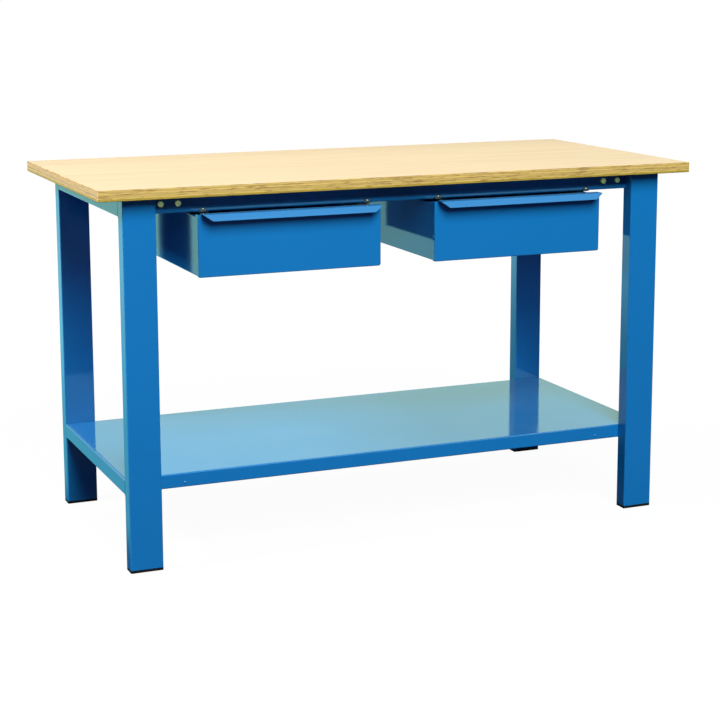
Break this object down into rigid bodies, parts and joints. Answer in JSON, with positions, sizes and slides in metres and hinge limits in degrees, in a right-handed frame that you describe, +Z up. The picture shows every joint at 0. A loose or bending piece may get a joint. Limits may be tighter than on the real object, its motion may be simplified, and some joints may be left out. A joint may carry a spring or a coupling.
{
  "type": "workbench",
  "caption": "Steel workbench with a thick plywood top on box-section legs, hanging sheet-metal drawers with folded pulls, and a folded steel shelf below.",
  "frame": {"origin": "on the floor, under the centre of the worktop", "axes": "+X along the bench to the user's right, +Y from the user's side to the back, +Z up"},
  "size_m": [1.5, 0.7, 0.885],
  "materials": {
    "plywood": "sanded plywood with a thin clear varnish",
    "blue_enamel": "glossy baked enamel on steel",
    "black_plastic": "moulded plastic",
    "yellow_zinc": "yellow passivated zinc",
    "white_zinc": "bright zinc",
    "galvanised": "galvanised strip",
    "nylon": "natural nylon"
  },
  "bodies": {
    "bench": {"foot_cap_front_left": "black_plastic", "foot_cap_front_right": "black_plastic", "foot_cap_rear_left": "black_plastic", "foot_cap_rear_right": "black_plastic", "front_rail": "blue_enamel", "left_drawer_glide_pads": "nylon", "left_drawer_runner_left": "galvanised", "left_drawer_runner_right": "galvanised", "leg_front_left": "blue_enamel", "leg_front_right": "blue_enamel", "leg_rear_left": "blue_enamel", "leg_rear_right": "blue_enamel", "lower_side_rail_left": "blue_enamel", "lower_side_rail_right": "blue_enamel", "rail_bolts": "yellow_zinc", "rail_bracket_front_left": "blue_enamel", "rail_bracket_front_right": "blue_enamel", "rail_bracket_rear_left": "blue_enamel", "rail_bracket_rear_right": "blue_enamel", "rail_nuts": "yellow_zinc", "rear_rail": "blue_enamel", "right_drawer_glide_pads": "nylon", "right_drawer_runner_left": "galvanised", "right_drawer_runner_right": "galvanised", "runner_screws": "white_zinc", "shelf": "blue_enamel", "shelf_cleat_front_left": "blue_enamel", "shelf_cleat_front_right": "blue_enamel", "shelf_cleat_rear_left": "blue_enamel", "shelf_cleat_rear_right": "blue_enamel", "shelf_nuts": "blue_enamel", "shelf_screws": "blue_enamel", "upper_side_rail_left": "blue_enamel", "upper_side_rail_right": "blue_enamel", "worktop": "plywood", "worktop_screws": "white_zinc"},
    "left_drawer": {"left_drawer_front": "blue_enamel", "left_drawer_tray": "blue_enamel", "left_drawer_back": "blue_enamel", "left_drawer_glide_shoes": "nylon"},
    "right_drawer": {"right_drawer_front": "blue_enamel", "right_drawer_tray": "blue_enamel", "right_drawer_back": "blue_enamel", "right_drawer_glide_shoes": "nylon"}
  },
  "joints": [
    {"name": "left_drawer_slide", "type": "slide", "parent": "bench", "child": "left_drawer", "axis": [0, -1, 0], "range_m": [0, 0.5]},
    {"name": "right_drawer_slide", "type": "slide", "parent": "bench", "child": "right_drawer", "axis": [0, -1, 0], "range_m": [0, 0.5]}
  ]
}
